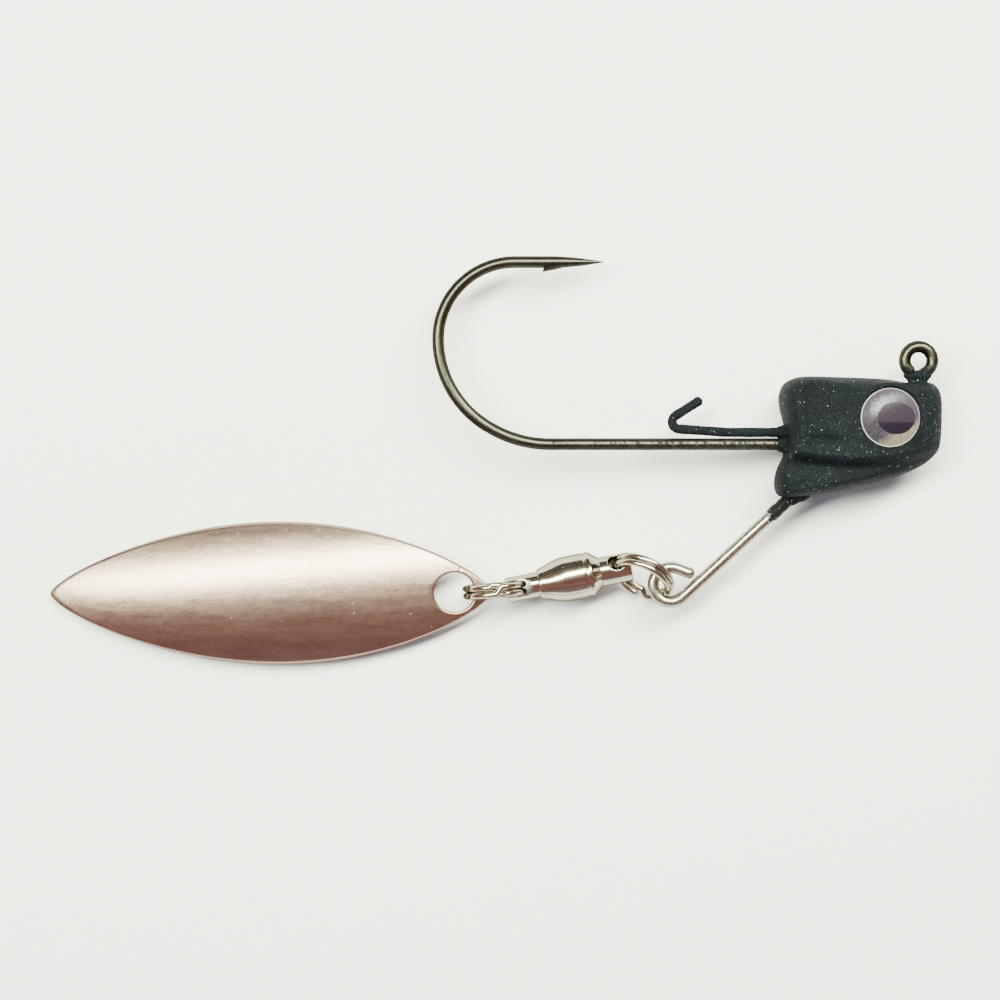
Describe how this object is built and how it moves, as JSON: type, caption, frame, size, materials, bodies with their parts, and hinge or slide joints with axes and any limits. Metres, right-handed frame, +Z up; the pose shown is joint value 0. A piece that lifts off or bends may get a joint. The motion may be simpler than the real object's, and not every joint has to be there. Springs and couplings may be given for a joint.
{
  "type": "underspin jig lure",
  "caption": "Painted lead jig head with a wide-gap hook, bait keeper and belly arm that carries a ball-bearing swivel and a willow-leaf spinner blade; lies on its side.",
  "frame": {"origin": "middle of the hook's line-tie eye, in the hook's plane", "axes": "+X towards the nose along the lure's length, +Y from the belly to the back, +Z up from the table, across the lure's thickness"},
  "size_m": [0.0752, 0.0342, 0.008],
  "materials": {
    "head_paint": "satin powder paint with fine silver and blue flake",
    "black_nickel_wire": "black nickel plated carbon steel",
    "painted_wire": "painted over steel",
    "stainless_wire": "drawn stainless",
    "ring_nickel": "nickel plated spring steel",
    "swivel_nickel": "nickel plated brass",
    "bearing_steel": "hardened steel",
    "blade_plate": "polished plate with a warm tone",
    "eye_foil": "silver lilac holographic foil with a dark purple pupil",
    "eye_glue": "clear adhesive",
    "eye_dome_resin": "clear domed resin"
  },
  "bodies": {
    "jig_body": {"head_casting": "head_paint", "jig_hook": "black_nickel_wire", "bait_keeper_wire": "painted_wire", "spinner_arm_wire": "stainless_wire", "right_eye_adhesive": "eye_glue", "right_eye_foil": "eye_foil", "right_eye_dome": "eye_dome_resin", "left_eye_adhesive": "eye_glue", "left_eye_foil": "eye_foil", "left_eye_dome": "eye_dome_resin"},
    "front_ring_body": {"front_split_ring": "ring_nickel"},
    "swivel_body": {"swivel_plug": "swivel_nickel", "swivel_barrel": "swivel_nickel", "swivel_race_washer": "bearing_steel"},
    "ball_row": {"swivel_ball_1": "bearing_steel", "swivel_ball_2": "bearing_steel", "swivel_ball_3": "bearing_steel", "swivel_ball_4": "bearing_steel", "swivel_ball_5": "bearing_steel", "swivel_ball_6": "bearing_steel", "swivel_ball_7": "bearing_steel", "swivel_ball_8": "bearing_steel"},
    "spindle_body": {"swivel_spindle": "swivel_nickel"},
    "rear_ring_body": {"rear_split_ring": "ring_nickel"},
    "blade_body": {"blade": "blade_plate"}
  },
  "joints": [
    {"name": "ring_round_arm_loop", "type": "hinge", "parent": "jig_body", "child": "front_ring_body", "pos_m": [-0.02068, -0.01868, 0], "axis": [0, 0, 1], "range_deg": [-12, 60]},
    {"name": "swivel_on_front_ring", "type": "hinge", "parent": "front_ring_body", "child": "swivel_body", "pos_m": [-0.02504, -0.01741, -0.00143], "axis": [-0.0905, 0.5705, 0.8163], "range_deg": [-20, 60]},
    {"name": "spindle_spin", "type": "hinge", "parent": "swivel_body", "child": "spindle_body", "pos_m": [-0.03305, -0.01897, -0.00122], "axis": [0.9812, 0.1915, -0.025], "continuous": true},
    {"name": "ball_row_roll", "type": "hinge", "parent": "swivel_body", "child": "ball_row", "pos_m": [-0.03305, -0.01897, -0.00122], "axis": [0.9812, 0.1915, -0.025], "continuous": true},
    {"name": "rear_ring_swing", "type": "hinge", "parent": "spindle_body", "child": "rear_ring_body", "pos_m": [-0.03305, -0.01897, -0.00122], "axis": [0.0246, 0.0048, 0.9997], "range_deg": [-70, 80]},
    {"name": "blade_tilt", "type": "hinge", "parent": "rear_ring_body", "child": "blade_body", "pos_m": [-0.03773, -0.01939, -0.00111], "axis": [0.0052, -1, 0], "range_deg": [-6, 40]}
  ],
  "couplings": [
    {"joint": "ball_row_roll", "follows": "spindle_spin", "ratio": 0.5}
  ]
}
